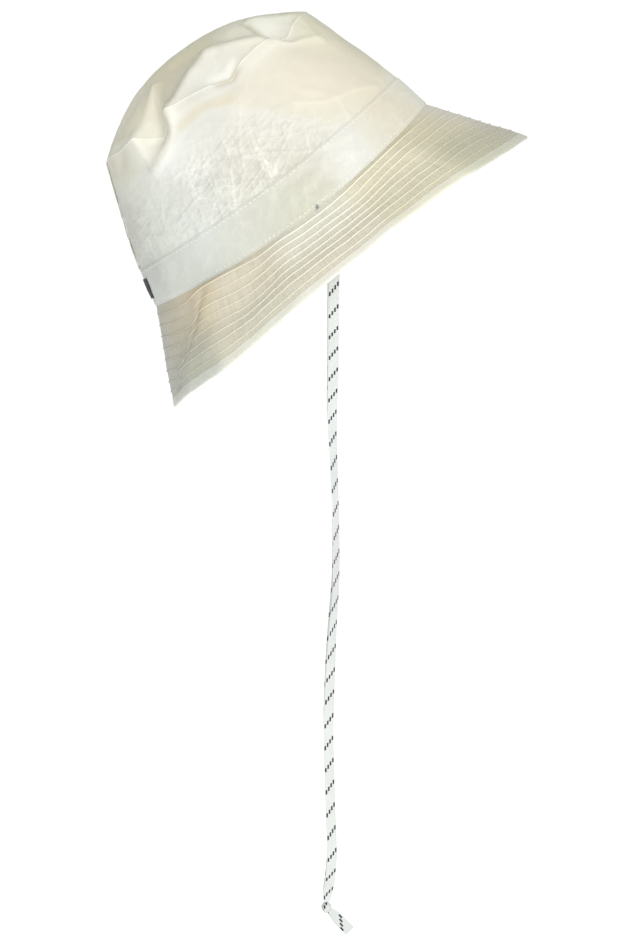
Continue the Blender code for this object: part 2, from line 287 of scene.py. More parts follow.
hatForm = {
    "tilt": math.radians(36.7), "cloth": 0.0008, "gap": 0.0003,
    "headFront": 0.1015, "headBack": 0.1035, "headHalf": 0.0825, "earDip": 0.0105,
    "tipFront": 0.0760, "tipBack": 0.0745, "tipHalf": 0.0610, "crownHeight": 0.0885,
    "bulge": 0.0025, "rise": 0.0275, "roundness": 2.25,
    "brimWidth": 0.063, "droopFront": 54.0, "droopBack": 63.0, "droopSide": 34.6,
}


def ovalAt(angle, front, back, half):
    reach = np.where(np.cos(angle) > 0, front, back)
    return np.stack([reach * np.cos(angle), half * np.sin(angle), np.zeros_like(angle)], -1)


def outwardAt(angle):
    reach = np.where(np.cos(angle) > 0, hatForm["headFront"], hatForm["headBack"])
    across = np.stack([hatForm["headHalf"] * np.cos(angle), reach * np.sin(angle), np.zeros_like(angle)], -1)
    return across / np.linalg.norm(across, axis=-1, keepdims=True)


def crownSeam(angle):
    seam = ovalAt(angle, hatForm["headFront"], hatForm["headBack"], hatForm["headHalf"])
    seam[..., 2] = -hatForm["earDip"] * np.sin(angle) ** 2
    return seam


def tipSeam(angle):
    seam = ovalAt(angle, hatForm["tipFront"], hatForm["tipBack"], hatForm["tipHalf"])
    seam[..., 2] = hatForm["crownHeight"]
    return seam


def wallLength(angle):
    return np.linalg.norm(tipSeam(angle) - crownSeam(angle), axis=-1)


def tipLength(angle):
    return np.hypot(tipSeam(angle)[..., 0], tipSeam(angle)[..., 1])


def wallForm(angle, share):
    part = share[..., None]
    bulge = 4 * hatForm["bulge"] * part * (1 - part)
    return crownSeam(angle) * (1 - part) + tipSeam(angle) * part + outwardAt(angle) * bulge


def tipForm(angle, share):
    edge = tipSeam(angle)
    left = np.clip(1 - share, -1, 2)
    rise = hatForm["rise"] * (1 - np.abs(left) ** hatForm["roundness"])
    return np.stack([edge[..., 0] * left, edge[..., 1] * left, hatForm["crownHeight"] + rise], -1)


def crownForm(angle, height):
    # height is the distance up the cloth from the crown seam, over the tip seam and on to the middle.
    wall = wallLength(angle)
    share = height / wall
    return np.where((share <= 1)[..., None], wallForm(angle, np.minimum(share, 1)),
                    tipForm(angle, (height - wall) / tipLength(angle)))


def brimForm(angle, share):
    facing = np.cos(angle)
    steep = np.where(facing > 0,
                     hatForm["droopSide"] + (hatForm["droopFront"] - hatForm["droopSide"]) * np.abs(facing) ** 4,
                     hatForm["droopSide"] + (hatForm["droopBack"] - hatForm["droopSide"]) * facing ** 2)
    steep = np.radians(steep)[..., None]
    along = (share * hatForm["brimWidth"])[..., None]
    return crownSeam(angle) + along * (outwardAt(angle) * np.cos(steep) - np.array([0, 0, 1]) * np.sin(steep))


# Each fold is a line of (angle, height in mm) on the crown. lift is how far it stands out and width how far
# it reaches on each side, both in mm, and a low power makes it sharp.
crownFolds = (
    {"line": ((-122, 101),), "lift": -4.5, "width": 13, "power": 2},
    {"line": ((-110, 101), (-113, 94), (-121, 84), (-129, 75)), "lift": 3.0, "width": 3.4, "power": 1.2},
    {"line": ((-134, 97), (-132, 86), (-129, 75)), "lift": 1.2, "width": 3.4, "power": 1.4},
    {"line": ((-135, 98), (-128, 110), (-121, 123)), "lift": 1.5, "width": 4, "power": 1.4},
    {"line": ((-110, 101), (-114, 110), (-120, 123)), "lift": 1.5, "width": 4, "power": 1.4},
    {"line": ((-110, 101), (-103, 104), (-92, 113), (-82, 119), (-75, 121), (-68, 118), (-60, 108), (-50, 98)),
     "lift": 3.4, "width": 5.5, "power": 1.2},
    {"line": ((-92, 134), (-70, 134)), "lift": -4.5, "width": 15, "power": 2},
    {"line": ((-52, 116),), "lift": -3.0, "width": 9, "power": 2},
    {"line": ((-50, 98), (-42, 110), (-33, 118), (-25, 123)), "lift": -3.2, "width": 3.6, "power": 1.3},
    {"line": ((-33, 103),), "lift": -3.5, "width": 12, "power": 2},
    {"line": ((-50, 97), (-40, 86), (-29, 75)), "lift": 1.6, "width": 3.4, "power": 1.3},
    {"line": ((-20, 96), (-24, 85), (-29, 75)), "lift": 1.0, "width": 4, "power": 1.5},
    {"line": ((-20, 97), (-19, 110), (-24, 123)), "lift": 1.4, "width": 4, "power": 1.5},
    {"line": ((-84, 102), (-74, 102)), "lift": -1.8, "width": 4, "power": 2},
    {"line": ((-150, 92), (-156, 110), (-150, 125)), "lift": -1.8, "width": 7, "power": 2},
    {"line": ((-65, 58), (-55, 45), (-40, 38), (-30, 30)), "lift": 0.5, "width": 2.5, "power": 1.3},
    {"line": ((-52, 30), (-50, 44), (-58, 62)), "lift": 0.4, "width": 2.5, "power": 1.3},
    {"line": ((-62, 8), (-58, 20), (-66, 26)), "lift": 0.8, "width": 3.5, "power": 1.6},
    {"line": ((-80, 14), (-72, 20)), "lift": 0.5, "width": 3.0, "power": 1.6},
    {"line": ((-160, 60), (-140, 52), (-118, 60)), "lift": -0.9, "width": 9, "power": 2},
    {"line": ((-165, 40), (-140, 36)), "lift": 0.7, "width": 5, "power": 2},
)

# How far the tip seam hangs below its even line, in mm.
seamSag = (
    (-180, 0), (-150, -1), (-135, 0), (-128, 4), (-121, 8), (-114, 4.5), (-110, 0.5), (-100, 0), (-90, 1.5),
    (-84, 3.5), (-78, 6.5), (-71, 2.5), (-60, 0.5), (-52, 1), (-47, 5), (-42, 6.5), (-37, 4), (-30, 0.5), (0, 0),
)

# How far the brim's rows lie below their even places, in mm: at the seam, three places between and the rim.
brimWaves = (
    (-180, -2.0, -1.0, 0.0, 0.5, -1.0), (-168, -1.7, -0.5, 0.3, 0.6, -0.8), (-160, -1.1, 0.3, 1.2, 1.6, -1.5),
    (-154, -0.4, 1.0, 2.6, 1.6, -2.0), (-151, -0.2, 1.4, 3.0, -1.8, -2.3), (-148, -0.1, 1.9, 1.6, -2.4, -2.0),
    (-144, -0.4, 2.1, 0.4, -3.1, -1.5), (-140, -1.1, 1.4, -1.2, -2.9, -1.0), (-136, -2.6, -1.6, -2.1, -2.6, -0.3),
    (-132, -3.9, -3.7, -2.0, -2.0, 1.2), (-128, -3.9, -3.0, -1.1, -0.9, 1.7), (-124, -3.7, -1.9, 0.0, 0.1, 2.4),
    (-120, -3.5, -0.3, 1.9, 1.1, 2.8), (-116, -2.6, 1.2, 3.1, 1.7, 3.0), (-112, -1.9, 1.5, 2.9, 0.8, 2.9),
    (-108, -0.8, 0.5, 1.6, -0.2, 2.6), (-104, -1.3, -1.0, 0.0, -1.0, 2.4), (-100, -2.2, -1.6, -0.8, -1.1, 2.3),
    (-92, -1.1, 0.1, -0.4, -1.5, 1.5), (-84, -0.5, 0.3, 0.1, -1.2, 1.0), (-76, -0.5, 1.4, 0.5, -1.6, -0.3),
    (-72, -0.8, 1.0, -0.3, -1.8, -0.6), (-68, -2.1, -0.3, -1.1, -1.4, 0.5), (-60, -2.6, -2.8, -1.6, -1.2, 1.5),
    (-52, -2.8, -2.7, -0.8, 0.0, 2.3), (-44, -2.7, -1.6, -1.1, -0.8, 4.0), (-36, -1.8, -1.2, -0.4, 0.0, 4.3),
    (-28, -0.6, -0.7, 0.8, 1.7, 3.8), (-20, -0.2, 0.6, 2.1, 2.2, 2.7), (-12, 0.5, 1.5, 1.5, 0.5, 2.0),
    (0, 0.5, 1.2, 1.2, 0.5, 1.5),
)
brimLevels = (0.11, 0.32, 0.53, 0.745, 1.0)


def smoothRing(values, spread):
    # Averages a table round the hat, so that its steps don't show.
    kernel = np.exp(-0.5 * (np.arange(-12, 13) / spread) ** 2)
    kernel /= kernel.sum()
    around = np.concatenate([values[-13:-1], values, values[1:13]])
    return np.convolve(around, kernel, mode="valid")


ringDegrees = np.linspace(-180, 180, 721)


# The wearer's left side has the same folds as the right one, less deep and a few degrees further round.
leftSide = {"share": 0.8, "shift": 7.0}


def ringTable(pairs, spread, farShift):
    degrees = np.array([pair[0] for pair in pairs], float)
    amounts = np.array([pair[1] for pair in pairs], float)
    near = np.interp(ringDegrees, degrees, amounts)
    far = np.interp(-ringDegrees + farShift * np.sin(np.radians(ringDegrees)), degrees, amounts) * leftSide["share"]
    return smoothRing(np.where(ringDegrees < 0, near, far), spread)


sagTable = ringTable(seamSag, 2.0, 9.0)
waveTables = [ringTable([(row[0], row[level + 1]) for row in brimWaves], 2.5, 8.0)
              for level in range(len(brimLevels))]


def foldLine(line, mirrored):
    degrees = np.array([place[0] for place in line], float)
    heights = np.array([place[1] for place in line], float) / 1000
    steps = np.linspace(0, len(line) - 1, 1 + 12 * (len(line) - 1))
    degrees = np.interp(steps, np.arange(len(line)), degrees)
    heights = np.interp(steps, np.arange(len(line)), heights)
    if mirrored:
        degrees = -degrees - leftSide["shift"]
    return crownForm(np.radians(degrees), heights)


def crownLift(flatPoints):
    # How far the folds move each point of the crown outwards.
    points = flatPoints.reshape(-1, 3)
    lift = np.zeros(len(points))
    for fold in crownFolds:
        for mirrored in (False, True):
            line = foldLine(fold["line"], mirrored)
            nearest = np.full(len(points), 9.0)
            for place in line:
                nearest = np.minimum(nearest, np.linalg.norm(points - place, axis=1))
            amount = fold["lift"] * (leftSide["share"] if mirrored else 1.0) / 1000
            lift += amount * np.exp(-(nearest * 1000 / fold["width"]) ** fold["power"])
    return lift.reshape(flatPoints.shape[:-1])


# Sizes of the cloth's own unevenness: how many waves to a metre, and their height in metres.
softness = {"slow": (28.0, 0.0007), "crinkle": (130.0, 0.00042), "brim": (60.0, 0.0005), "octaves": 3}


def unevenness(flatPoints, kind):
    scale, height = softness[kind]
    points = flatPoints.reshape(-1, 3) * scale
    made = [noise.fractal(Vector(point), 0.9, 2.1, softness["octaves"]) for point in points]
    return np.array(made).reshape(flatPoints.shape[:-1]) * height


# Where the wall is crumpled: most on the side behind the ear, and less behind that. Places are in degrees with
# how soft the change is there, and heights in mm.
crumpleSpec = {"front": (62, 3), "back": (120, 5), "rear": (116, 5), "rearShare": 0.45, "top": (70, 4), "least": 0.35,
               "slopeFrom": 84, "slopeOver": 40, "slope": 1.3}


def past(value, place):
    middle, soft = place
    return 1 / (1 + np.exp((middle - value) / soft))


def crinkleMask(angle, height):
    degrees = np.abs(np.degrees(angle))
    side = past(degrees, crumpleSpec["front"]) * (1 - past(degrees, crumpleSpec["back"]))
    rear = crumpleSpec["rearShare"] * past(degrees, crumpleSpec["rear"])
    lower = np.clip(crumpleSpec["slopeFrom"] - degrees, 0, crumpleSpec["slopeOver"]) * crumpleSpec["slope"]
    return (side + rear) * (1 - past(height * 1000 + lower, crumpleSpec["top"]))


# How many points the folded surfaces are worked out at: round the hat, and from which share up to which.
mapSteps = {"round": 721, "wall": (-0.05, 1.0, 112), "tip": (0.0, 1.0, 90), "brim": (-0.04, 1.08, 72)}


def makeMap(form, change, steps):
    low, high, rows = steps
    degrees = np.linspace(-180, 180, mapSteps["round"])
    shares = np.linspace(low, high, rows)
    angle, share = np.meshgrid(np.radians(degrees), shares, indexing="ij")
    flat = form(angle, share)
    moved = change(flat, angle, share, mapNormals(flat))
    moved[-1] = moved[0]
    return {"low": low, "high": high, "rows": rows, "points": moved, "normals": mapNormals(moved)}


def mapNormals(points):
    around = np.empty_like(points)
    around[1:-1] = points[2:] - points[:-2]
    around[0] = around[-1] = points[1] - points[-2]
    across = np.gradient(points, axis=1)
    normals = np.cross(around, across)
    sizes = np.linalg.norm(normals, axis=-1, keepdims=True)
    return np.where(sizes > 1e-12, normals / np.maximum(sizes, 1e-12), np.array([0.0, 0.0, 1.0]))


def readMap(clothMap, degrees, share, lift):
    column = (np.asarray(degrees, float) + 180) / 360 * (mapSteps["round"] - 1)
    column = np.mod(column, mapSteps["round"] - 1)
    row = (np.asarray(share, float) - clothMap["low"]) / (clothMap["high"] - clothMap["low"])
    row = np.clip(row * (clothMap["rows"] - 1), 0, clothMap["rows"] - 1.001)
    leftColumn, lowRow = column.astype(int), row.astype(int)
    acrossColumn, acrossRow = (column - leftColumn)[:, None], (row - lowRow)[:, None]
    found = []
    for table in (clothMap["points"], clothMap["normals"]):
        low = table[leftColumn, lowRow] * (1 - acrossColumn) + table[leftColumn + 1, lowRow] * acrossColumn
        high = table[leftColumn, lowRow + 1] * (1 - acrossColumn) + table[leftColumn + 1, lowRow + 1] * acrossColumn
        found.append(low * (1 - acrossRow) + high * acrossRow)
    point, normal = found
    normal /= np.maximum(np.linalg.norm(normal, axis=1, keepdims=True), 1e-9)
    return point + normal * np.asarray(lift, float)[:, None]


# How far the tip seam's sag and its shared direction reach, and how high the foot of the wall stays put, in metres.
seamReach = {"sag": 0.013, "shared": 0.007, "foot": 0.012, "outward": 0.75, "upward": 0.65}


def crownChange(flat, angle, height, normals):
    lift = crownLift(flat) + unevenness(flat, "slow")
    lift += unevenness(flat, "crinkle") * (crumpleSpec["least"] + crinkleMask(angle, height))
    sag = np.interp(np.degrees(angle), ringDegrees, sagTable) / 1000
    beyond = height - wallLength(angle)
    nearSeam = np.exp(-(beyond / seamReach["sag"]) ** 2)
    foot = np.clip(height / seamReach["foot"], 0, 1)
    # At the tip seam both pieces move the same way, so that it stays shut.
    shared = np.exp(-(beyond / seamReach["shared"]) ** 2)[..., None]
    way = outwardAt(angle) * seamReach["outward"] + np.array([0, 0, seamReach["upward"]])
    ways = normals * (1 - shared) + way * shared
    ways /= np.linalg.norm(ways, axis=-1, keepdims=True)
    moved = flat + ways * (lift * foot)[..., None]
    moved[..., 2] -= sag * nearSeam
    return moved


def wallChange(flat, angle, share, normals):
    return crownChange(flat, angle, share * wallLength(angle), normals)


def tipChange(flat, angle, share, normals):
    return crownChange(flat, angle, wallLength(angle) + share * tipLength(angle), normals)


def brimChange(flat, angle, share, normals):
    degrees = np.degrees(angle)
    levels = np.stack([np.interp(degrees, ringDegrees, table) for table in waveTables])
    places = np.array((0.0, *brimLevels))
    levels = np.concatenate([np.zeros((1, *degrees.shape)), levels]) / 1000
    below = np.zeros_like(degrees)
    for step in range(len(places) - 1):
        part = np.clip((share - places[step]) / (places[step + 1] - places[step]), 0, 1)
        part = part * part * (3 - 2 * part)
        below += (levels[step + 1] - levels[step]) * part
    # Here the normals point down, as this surface runs outwards.
    facing = np.cos(angle)
    steep = np.where(facing > 0, 0.69 + 0.69 * np.abs(facing) ** 4, 0.69 + 1.27 * facing ** 2)
    small = unevenness(flat, "brim") * np.clip(share / 0.2, 0, 1)
    # In front and behind, the rows shift along the cloth instead, so that the brim keeps its outline.
    stand = 0.8 * (1 - facing ** 8)
    moved = flat + normals * (below * steep * stand + small)[..., None]
    downward = np.gradient(flat, axis=1)
    downward /= np.linalg.norm(downward, axis=-1, keepdims=True)
    return moved + downward * (below * (1.05 - stand))[..., None]


# The brim's outward side is up, which is the other way round from the crown's walls.
wallMap = makeMap(wallForm, wallChange, mapSteps["wall"])
tipMap = makeMap(tipForm, tipChange, mapSteps["tip"])
brimMap = makeMap(brimForm, brimChange, mapSteps["brim"])
brimMap["normals"] = -brimMap["normals"]
print("surfaces folded")


tiltMatrix = np.array([
    [math.cos(hatForm["tilt"]), 0.0, -math.sin(hatForm["tilt"])],
    [0.0, 1.0, 0.0],
    [math.sin(hatForm["tilt"]), 0.0, math.cos(hatForm["tilt"])],
])

# The cloth's tint by place, which holds its colour together with painted light and shade: lighter where the cloth
# faces the light and darker where it turns away. (angle, height in mm from the crown seam, red, green, blue).
crownTonesAndShade = (
    (-170, 10, .66, .68, .63), (-140, 12, .63, .65, .58), (-110, 12, .66, .66, .57), (-88, 12, .61, .60, .47),
    (-58, 12, .78, .77, .69), (-35, 12, .75, .71, .59), (-8, 12, .79, .79, .69),
    (-168, 48, .58, .59, .53), (-140, 48, .64, .66, .59), (-115, 48, .64, .64, .58), (-92, 50, .64, .61, .52),
    (-72, 36, .67, .65, .55), (-55, 58, .76, .72, .61), (-30, 55, .72, .68, .56), (-8, 55, .62, .61, .47),
    (-150, 85, .68, .68, .59), (-121, 90, .92, .93, .88), (-98, 93, .67, .66, .60), (-75, 84, .74, .70, .60),
    (-50, 84, .73, .69, .59), (-25, 84, .76, .74, .57), (-5, 84, .58, .57, .43),
    (-132, 64, .68, .69, .63), (-105, 72, .69, .68, .61), (-160, 30, .53, .55, .49), (-95, 28, .66, .65, .56),
    (-125, 30, .68, .70, .64), (-78, 66, .71, .69, .61), (-65, 100, .78, .76, .68),
    (-145, 112, .91, .91, .81), (-121, 108, .76, .73, .62), (-80, 110, .82, .83, .80), (-90, 132, .86, .82, .64),
    (-48, 112, .93, .93, .82), (-30, 108, .92, .92, .93), (-10, 112, .70, .74, .59), (0, 160, .79, .80, .67),
)
# The brim's tint by place, with painted light and shade in it as well: (angle, mm out along the brim from the crown
# seam, red, green, blue).
brimTonesAndShade = (
    (-174, 30, .55, .54, .47), (-155, 10, .56, .53, .41), (-140, 12, .68, .59, .42), (-145, 45, .51, .52, .44),
    (-115, 15, .74, .69, .56), (-115, 45, .70, .68, .56), (-88, 12, .84, .83, .73), (-88, 45, .74, .71, .59),
    (-60, 15, .82, .78, .61), (-60, 45, .69, .66, .51), (-35, 15, .69, .65, .48), (-35, 45, .53, .52, .39),
    (-10, 15, .71, .69, .58), (-10, 50, .54, .52, .41),
)


# Sharp changes of tint at the folds, mostly painted light and shade: painted shadow in creases and over the top that
# turns away from the light, painted highlights on ridges that face it, and a paler, bluer lower wall where doubled
# cloth lets less warm light through; the pale strip below the tip seam is the seam allowance seen through the cloth.
# Shapes and lines of (angle, height in mm), each with how soft its edge is or how wide it is in mm, and the factors
# on the tint there.
crownFoldShading = (
    {"shape": ((-180, 99), (-150, 100), (-134, 98), (-120, 123), (-110, 101), (-92, 113), (-75, 121), (-60, 108),
               (-50, 98), (-25, 124), (-20, 97), (0, 98), (0, 220), (-180, 220)), "soft": 2.2,
     "tint": (0.87, 0.86, 0.80)},
    {"shape": ((-134, 97), (-120, 124), (-110, 101), (-129, 75)), "soft": 1.5, "tint": (1.02, 1.01, 0.99)},
    {"shape": ((-110, 101), (-92, 112), (-75, 120), (-60, 107), (-50, 98), (-62, 100), (-90, 101)), "soft": 2.0,
     "tint": (1.05, 1.05, 1.04)},
    {"shape": ((-50, 98), (-25, 124), (-20, 97), (-35, 93)), "soft": 1.6, "tint": (1.08, 1.08, 1.06)},
    {"shape": ((-180, 80), (-150, 78), (-130, 75), (-118, 80), (-107, 86), (-95, 88), (-85, 80), (-75, 65), (-68, 52),
               (-60, 35), (-55, 28), (-55, -9), (-180, -9)), "soft": 3.5, "tint": (1.02, 1.04, 1.10)},
    {"line": ((-118, 80), (-107, 86), (-95, 88), (-85, 80), (-75, 65)), "wide": 1.8, "tint": (1.03, 1.04, 1.05)},
    {"line": ((-110, 101), (-115, 90), (-121, 82), (-129, 75)), "wide": 1.4, "tint": (0.80, 0.79, 0.76)},
    {"line": ((-119, 122), (-123, 108), (-127, 94)), "wide": 2.2, "tint": (1.07, 1.07, 1.05)},
    {"line": ((-134, 97), (-132, 88), (-129, 76)), "wide": 1.6, "tint": (1.07, 1.07, 1.08)},
    {"line": ((-51, 99), (-38, 113), (-26, 124)), "wide": 2.0, "tint": (0.82, 0.81, 0.74)},
    {"line": ((-108, 103), (-92, 115), (-75, 123), (-60, 110)), "wide": 1.8, "tint": (0.88, 0.87, 0.82)},
    {"line": ((-84, 100.5), (-74, 100)), "wide": 2.0, "tint": (0.92, 0.89, 0.80)},
    {"line": ((-88, 103), (-79, 104.5), (-71, 103)), "wide": 1.6, "tint": (1.06, 1.08, 1.10)},
    {"line": ((-109, 95), (-90, 95), (-70, 94), (-51, 93)), "wide": 2.2, "tint": (1.05, 1.06, 1.09)},
    {"line": ((-108, 89), (-95, 92), (-84, 86)), "wide": 3.0, "tint": (0.97, 0.93, 0.84)},
    {"line": ((-50, 96), (-40, 86), (-29, 75)), "wide": 1.4, "tint": (1.07, 1.08, 1.09)},
    {"line": ((-20, 96), (-24, 86), (-29, 75)), "wide": 1.8, "tint": (0.92, 0.91, 0.88)},
    {"line": ((-65, 58), (-55, 45), (-40, 38), (-30, 30)), "wide": 0.9, "tint": (1.07, 1.08, 1.08)},
    {"line": ((-50, 45), (-52, 30)), "wide": 0.9, "tint": (1.06, 1.07, 1.07)},
)
# Painted shadow and painted highlight along the crease at the back of the brim, and painted shade on the brim behind
# it.
brimFoldShading = (
    {"line": ((-130, 11), (-138, 28), (-147, 42), (-156, 54)), "wide": 1.8, "tint": (0.84, 0.84, 0.82)},
    {"line": ((-133, 10), (-142, 27), (-151, 41), (-160, 52)), "wide": 2.4, "tint": (1.10, 1.11, 1.12)},
    {"shape": ((-180, 3), (-150, 0), (-134, 10), (-158, 54), (-180, 60)), "soft": 3.0, "tint": (0.93, 0.95, 0.99)},
)


tintReach = {"crown": 0.017, "brim": 0.020}  # metres
degreeLength = {"crown": 1.15, "brim": 1.5}  # mm


def foldShadeFactors(marks, degrees, height, perDegree):
    # The factors on the tint at each place: the painted light and shade of the folds.
    place = np.stack([-np.abs(degrees) * perDegree, height * 1000], 1)
    factors = np.ones((len(degrees), 3))
    for mark in marks:
        corners = np.array(mark.get("shape", mark.get("line")), float) * (perDegree, 1.0)
        if "shape" in mark:
            corners = np.vstack([corners, corners[:1]])
        nearest = np.full(len(place), 1e6)
        inside = np.zeros(len(place), bool)
        for start, end in zip(corners[:-1], corners[1:]):
            side = end - start
            part = np.clip((place - start) @ side / (side @ side), 0, 1)
            nearest = np.minimum(nearest, np.linalg.norm(place - start - part[:, None] * side, axis=1))
            crosses = (start[1] > place[:, 1]) != (end[1] > place[:, 1])
            level = (place[:, 1] - start[1]) / (side[1] if abs(side[1]) > 1e-9 else 1e-9)
            inside ^= crosses & (place[:, 0] < start[0] + level * side[0])
        if "shape" in mark:
            share = np.clip(np.where(inside, nearest, -nearest) / mark["soft"] * 0.5 + 0.5, 0, 1)
            share = share * share * (3 - 2 * share)
        else:
            share = np.exp(-(nearest / mark["wide"]) ** 2)
        factors *= 1 + share[:, None] * (np.array(mark["tint"]) - 1)
    return factors


def tintAt(tints, form, degrees, height, reach):
    # A weighted mean of the tints nearby, so that they run into one another.
    sideways = -np.abs(degrees)
    here = form(np.radians(sideways), height)
    total = np.zeros((len(degrees), 3))
    weights = np.zeros(len(degrees))
    for angle, up, *colour in tints:
        there = form(np.radians(np.array([float(angle)])), np.array([up / 1000]))
        weight = np.exp(-(np.linalg.norm(here - there, axis=1) / reach) ** 2) + 1e-9
        total += weight[:, None] * np.array(colour)
        weights += weight
    return total / weights[:, None]


# The tint with its painted light and shade, and the painted light and shade of the folds on top of it.
def crownToneAndShadeAt(degrees, height):
    tint = tintAt(crownTonesAndShade, crownForm, degrees, height, tintReach["crown"])
    return tint * foldShadeFactors(crownFoldShading, degrees, height, degreeLength["crown"])


def brimToneAndShadeAt(degrees, height):
    def form(angle, along):
        return brimForm(angle, along / hatForm["brimWidth"])

    tint = tintAt(brimTonesAndShade, form, degrees, height, tintReach["brim"])
    return tint * foldShadeFactors(brimFoldShading, degrees, height, degreeLength["brim"])


def addPiece(name, shape, material, body, node):
    # Finishes a piece that stands for one CAD node and rides on its body.
    mesh = bpy.data.meshes.new(name)
    shape.to_mesh(mesh)
    shape.free()
    mesh.shade_smooth()
    mesh.set_sharp_from_angle(angle=math.radians(50))
    mesh.materials.append(material)
    piece = addItem(name, mesh)
    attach(piece, body)
    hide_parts(node)
    return piece


def closed(shape, reach=1e-7):
    bmesh.ops.remove_doubles(shape, verts=shape.verts, dist=reach)
    bmesh.ops.holes_fill(shape, edges=shape.edges, sides=0)
    bmesh.ops.recalc_face_normals(shape, faces=shape.faces)
    return shape


def sweepRound(columns, rows, place, start=-180.0, end=180.0):
    # A grid wrapped round the hat. place gives the points for arrays of degrees and of row numbers.
    shape = bmesh.new()
    bmesh.ops.create_grid(shape, x_segments=columns, y_segments=rows, size=0.5, calc_uvs=True)
    layer = shape.loops.layers.uv.verify()
    for face in shape.faces:
        for loop in face.loops:
            loop[layer].uv = (loop.vert.co.x + 0.5, loop.vert.co.y + 0.5)
    flat = np.array([vert.co[:2] for vert in shape.verts]) + 0.5
    degrees = start + (end - start) * flat[:, 0]
    points, facts = place(degrees, np.mod(np.round(flat[:, 1] * rows), rows).astype(int))
    for vert, point in zip(shape.verts, points @ tiltMatrix.T):
        vert.co = point
    for key, values in facts.items():
        kinds = shape.verts.layers.float_color if key == "tint" else shape.verts.layers.float
        painted = kinds.new(key)
        for vert, value in zip(shape.verts, values):
            vert[painted] = (*value, 1.0) if key == "tint" else float(value)
    return closed(shape, 1e-6)


def layOn(clothMap, outline, tint, crease, columns, start=-180.0, end=180.0, rimShare=None):
    # A closed cross-section carried round the hat: outline is a list of (share function, lift). With a
    # rimShare the cloth gets thinner towards the rim, down to that share of its thickness.
    def place(degrees, corner):
        share = np.zeros(len(degrees))
        lift = np.zeros(len(degrees))
        for number, (where, height) in enumerate(outline):
            chosen = corner == number
            share[chosen] = where(degrees[chosen])
            lift[chosen] = height
        if rimShare is not None:
            lift = lift * (1 - (1 - rimShare) * np.clip((share - 0.72) / 0.26, 0, 1))
        facts = {"tint": tint(degrees, share), "crease": crease(degrees, share)}
        return readMap(clothMap, degrees, share, lift), facts

    return sweepRound(columns, len(outline), place, start, end)


def sheetOutline(low, high, spans, lift, thick, edge=1.0):
    # Down one side of the cloth and back up the other. edge is the thickness left at its edges.
    def between(part):
        return lambda degrees: low(degrees) + (high(degrees) - low(degrees)) * part

    there = [(between(step / spans), lift) for step in range(spans + 1)]
    back = [(between(step / spans), lift + thick * (1.0 if 0 < step < spans else edge))
            for step in range(spans, -1, -1)]
    return there + back


def wallShare(millimetres):
    return lambda degrees: millimetres / 1000 / wallLength(np.radians(degrees))


# The tint with its painted light and shade, at shares up the wall, over the tip and out along the brim.
def wallToneAndShade(degrees, share):
    return crownToneAndShadeAt(degrees, share * wallLength(np.radians(degrees)))


def tipToneAndShade(degrees, share):
    angle = np.radians(degrees)
    return crownToneAndShadeAt(degrees, wallLength(angle) + np.clip(share, 0, 1) * tipLength(angle))


def brimToneAndShade(degrees, share):
    return brimToneAndShadeAt(degrees, share * hatForm["brimWidth"])


def tinted(base, factor):
    return lambda degrees, share: np.minimum(base(degrees, share) * np.array(factor), 0.97)


def evenCrease(value):
    return lambda degrees, share: np.full(len(degrees), value)


def wallCrease(degrees, share):
    angle = np.radians(degrees)
    return 0.14 + 0.95 * crinkleMask(angle, share * wallLength(angle))


wallCloth = clothFinish("crownCloth")
brimCloth = clothFinish("brimCloth", creasePale=0.15, cloud=0.25, creaseDepth=0.0006, through=0.28, streaks=0.9,
                        glow=brimGlow)
bandCloth = clothFinish("bandCloth", creasePale=0.3, creaseDepth=0.0010)
hemCloth = clothFinish("hemCloth", creasePale=0.2, creaseDepth=0.0004, through=0.25)
ribCloth = clothFinish("ribCloth", creasePale=0.05, cloud=0.2, creaseDepth=0.0002, through=0.2, glow=brimGlow)
seamThread = threadFinish("seamThread", (0.82, 0.82, 0.75))

# Places and gaps are in mm from the seam. flat and area are the cut size in metres: a curved piece is cut from
# a rectangle, and has its own area.
wallSpec = {"columns": 440, "spans": 74, "ease": 0.15, "topGap": 0.15, "flat": (0.526, 0.184), "area": 0.0503}
tipSpec = {"columns": 360, "spans": 54, "flat": (0.172, 0.144), "area": 0.0169}
cordSpec = {"columns": 480, "corners": 8, "radius": 0.58, "tall": 1.1}
backSeamSpec = {"columns": 8, "spans": 60, "halfWidth": 2.5, "inset": 0.3, "thick": 0.0006}


def wallTop(degrees):
    return 1 - wallShare(wallSpec["topGap"])(degrees)


def degreesAcross(millimetres):
    # How far round the hat a small distance at the back reaches.
    return math.degrees(millimetres / 1000 / hatForm["headHalf"])


def ones(degrees):
    return np.ones(len(degrees))


